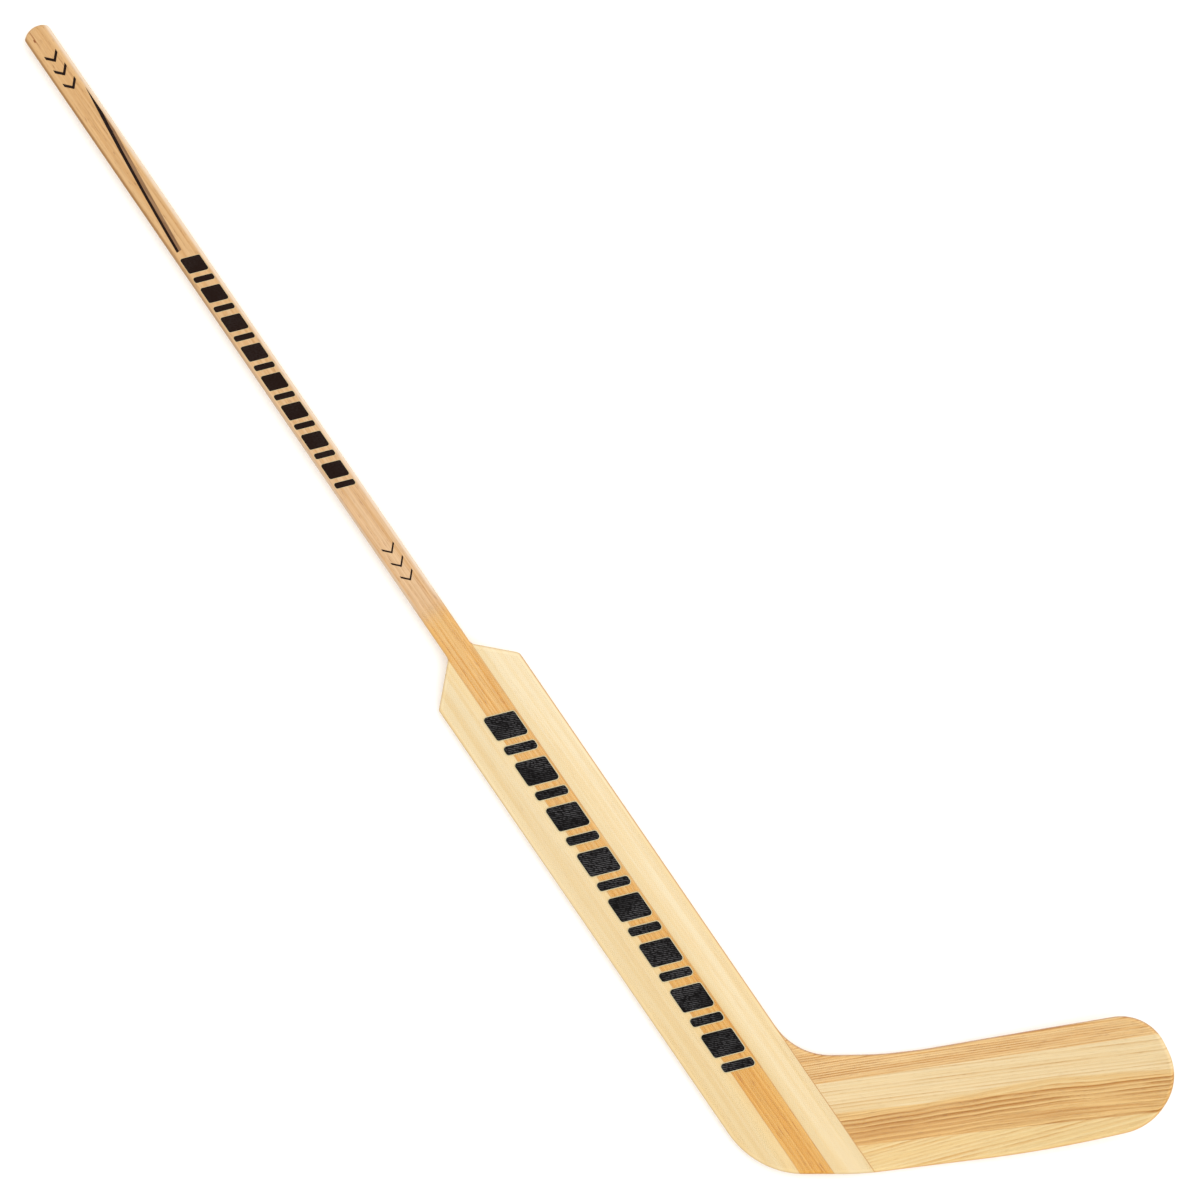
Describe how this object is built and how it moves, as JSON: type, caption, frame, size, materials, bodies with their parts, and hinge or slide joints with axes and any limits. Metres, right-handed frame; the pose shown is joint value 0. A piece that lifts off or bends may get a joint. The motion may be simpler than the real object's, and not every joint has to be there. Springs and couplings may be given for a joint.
{
  "type": "goaltender hockey stick",
  "caption": "Laminated wooden goaltender's hockey stick: a long slim shaft, a wide flat paddle and an angled, gently curved blade glued up from strips.",
  "frame": {"origin": "on the flat back of the stick, on the shaft's centreline, where the paddle's shoulders start", "axes": "+X down the shaft from the butt to the heel, +Y towards the side the blade is on, +Z out of the front"},
  "size_m": [1.3712, 0.3678, 0.041],
  "materials": {
    "birch_ply": "pinkish tan birch, lacquered, golden where it is under the resin",
    "aspen_core": "pale laminated core, seen on the sides of the shaft",
    "aspen_board": "cream, even, with faint warm streaks",
    "ash_brown": "orange-brown with close straight grain",
    "ash_cream": "cream with fine straight lines",
    "ash_dark": "brown with wavy dark grain",
    "ash_yellow": "cream-yellow with long arched grain",
    "resin_cloth": "clear resin over a fine glass weave, satin",
    "black_ink": "satin black",
    "smoke_ink": "translucent smoke brown"
  },
  "bodies": {
    "root": {"shaft_front_ply": "birch_ply", "shaft_core_ply_3": "aspen_core", "shaft_core_ply_2": "aspen_core", "shaft_core_ply_1": "aspen_core", "shaft_back_ply": "birch_ply", "toe_side_board": "aspen_board", "heel_side_board": "aspen_board", "blade_strip_top": "ash_brown", "blade_strip_upper": "ash_cream", "blade_strip_lower": "ash_dark", "blade_strip_sole": "ash_yellow", "paddle_front_facing": "resin_cloth", "paddle_back_facing": "resin_cloth", "blade_front_facing": "resin_cloth", "blade_back_facing": "resin_cloth", "shaft_transfer": "black_ink", "paddle_transfer": "black_ink", "butt_transfer": "black_ink", "low_transfer": "black_ink", "black_stripe": "black_ink", "smoke_stripe": "smoke_ink"}
  },
  "joints": []
}
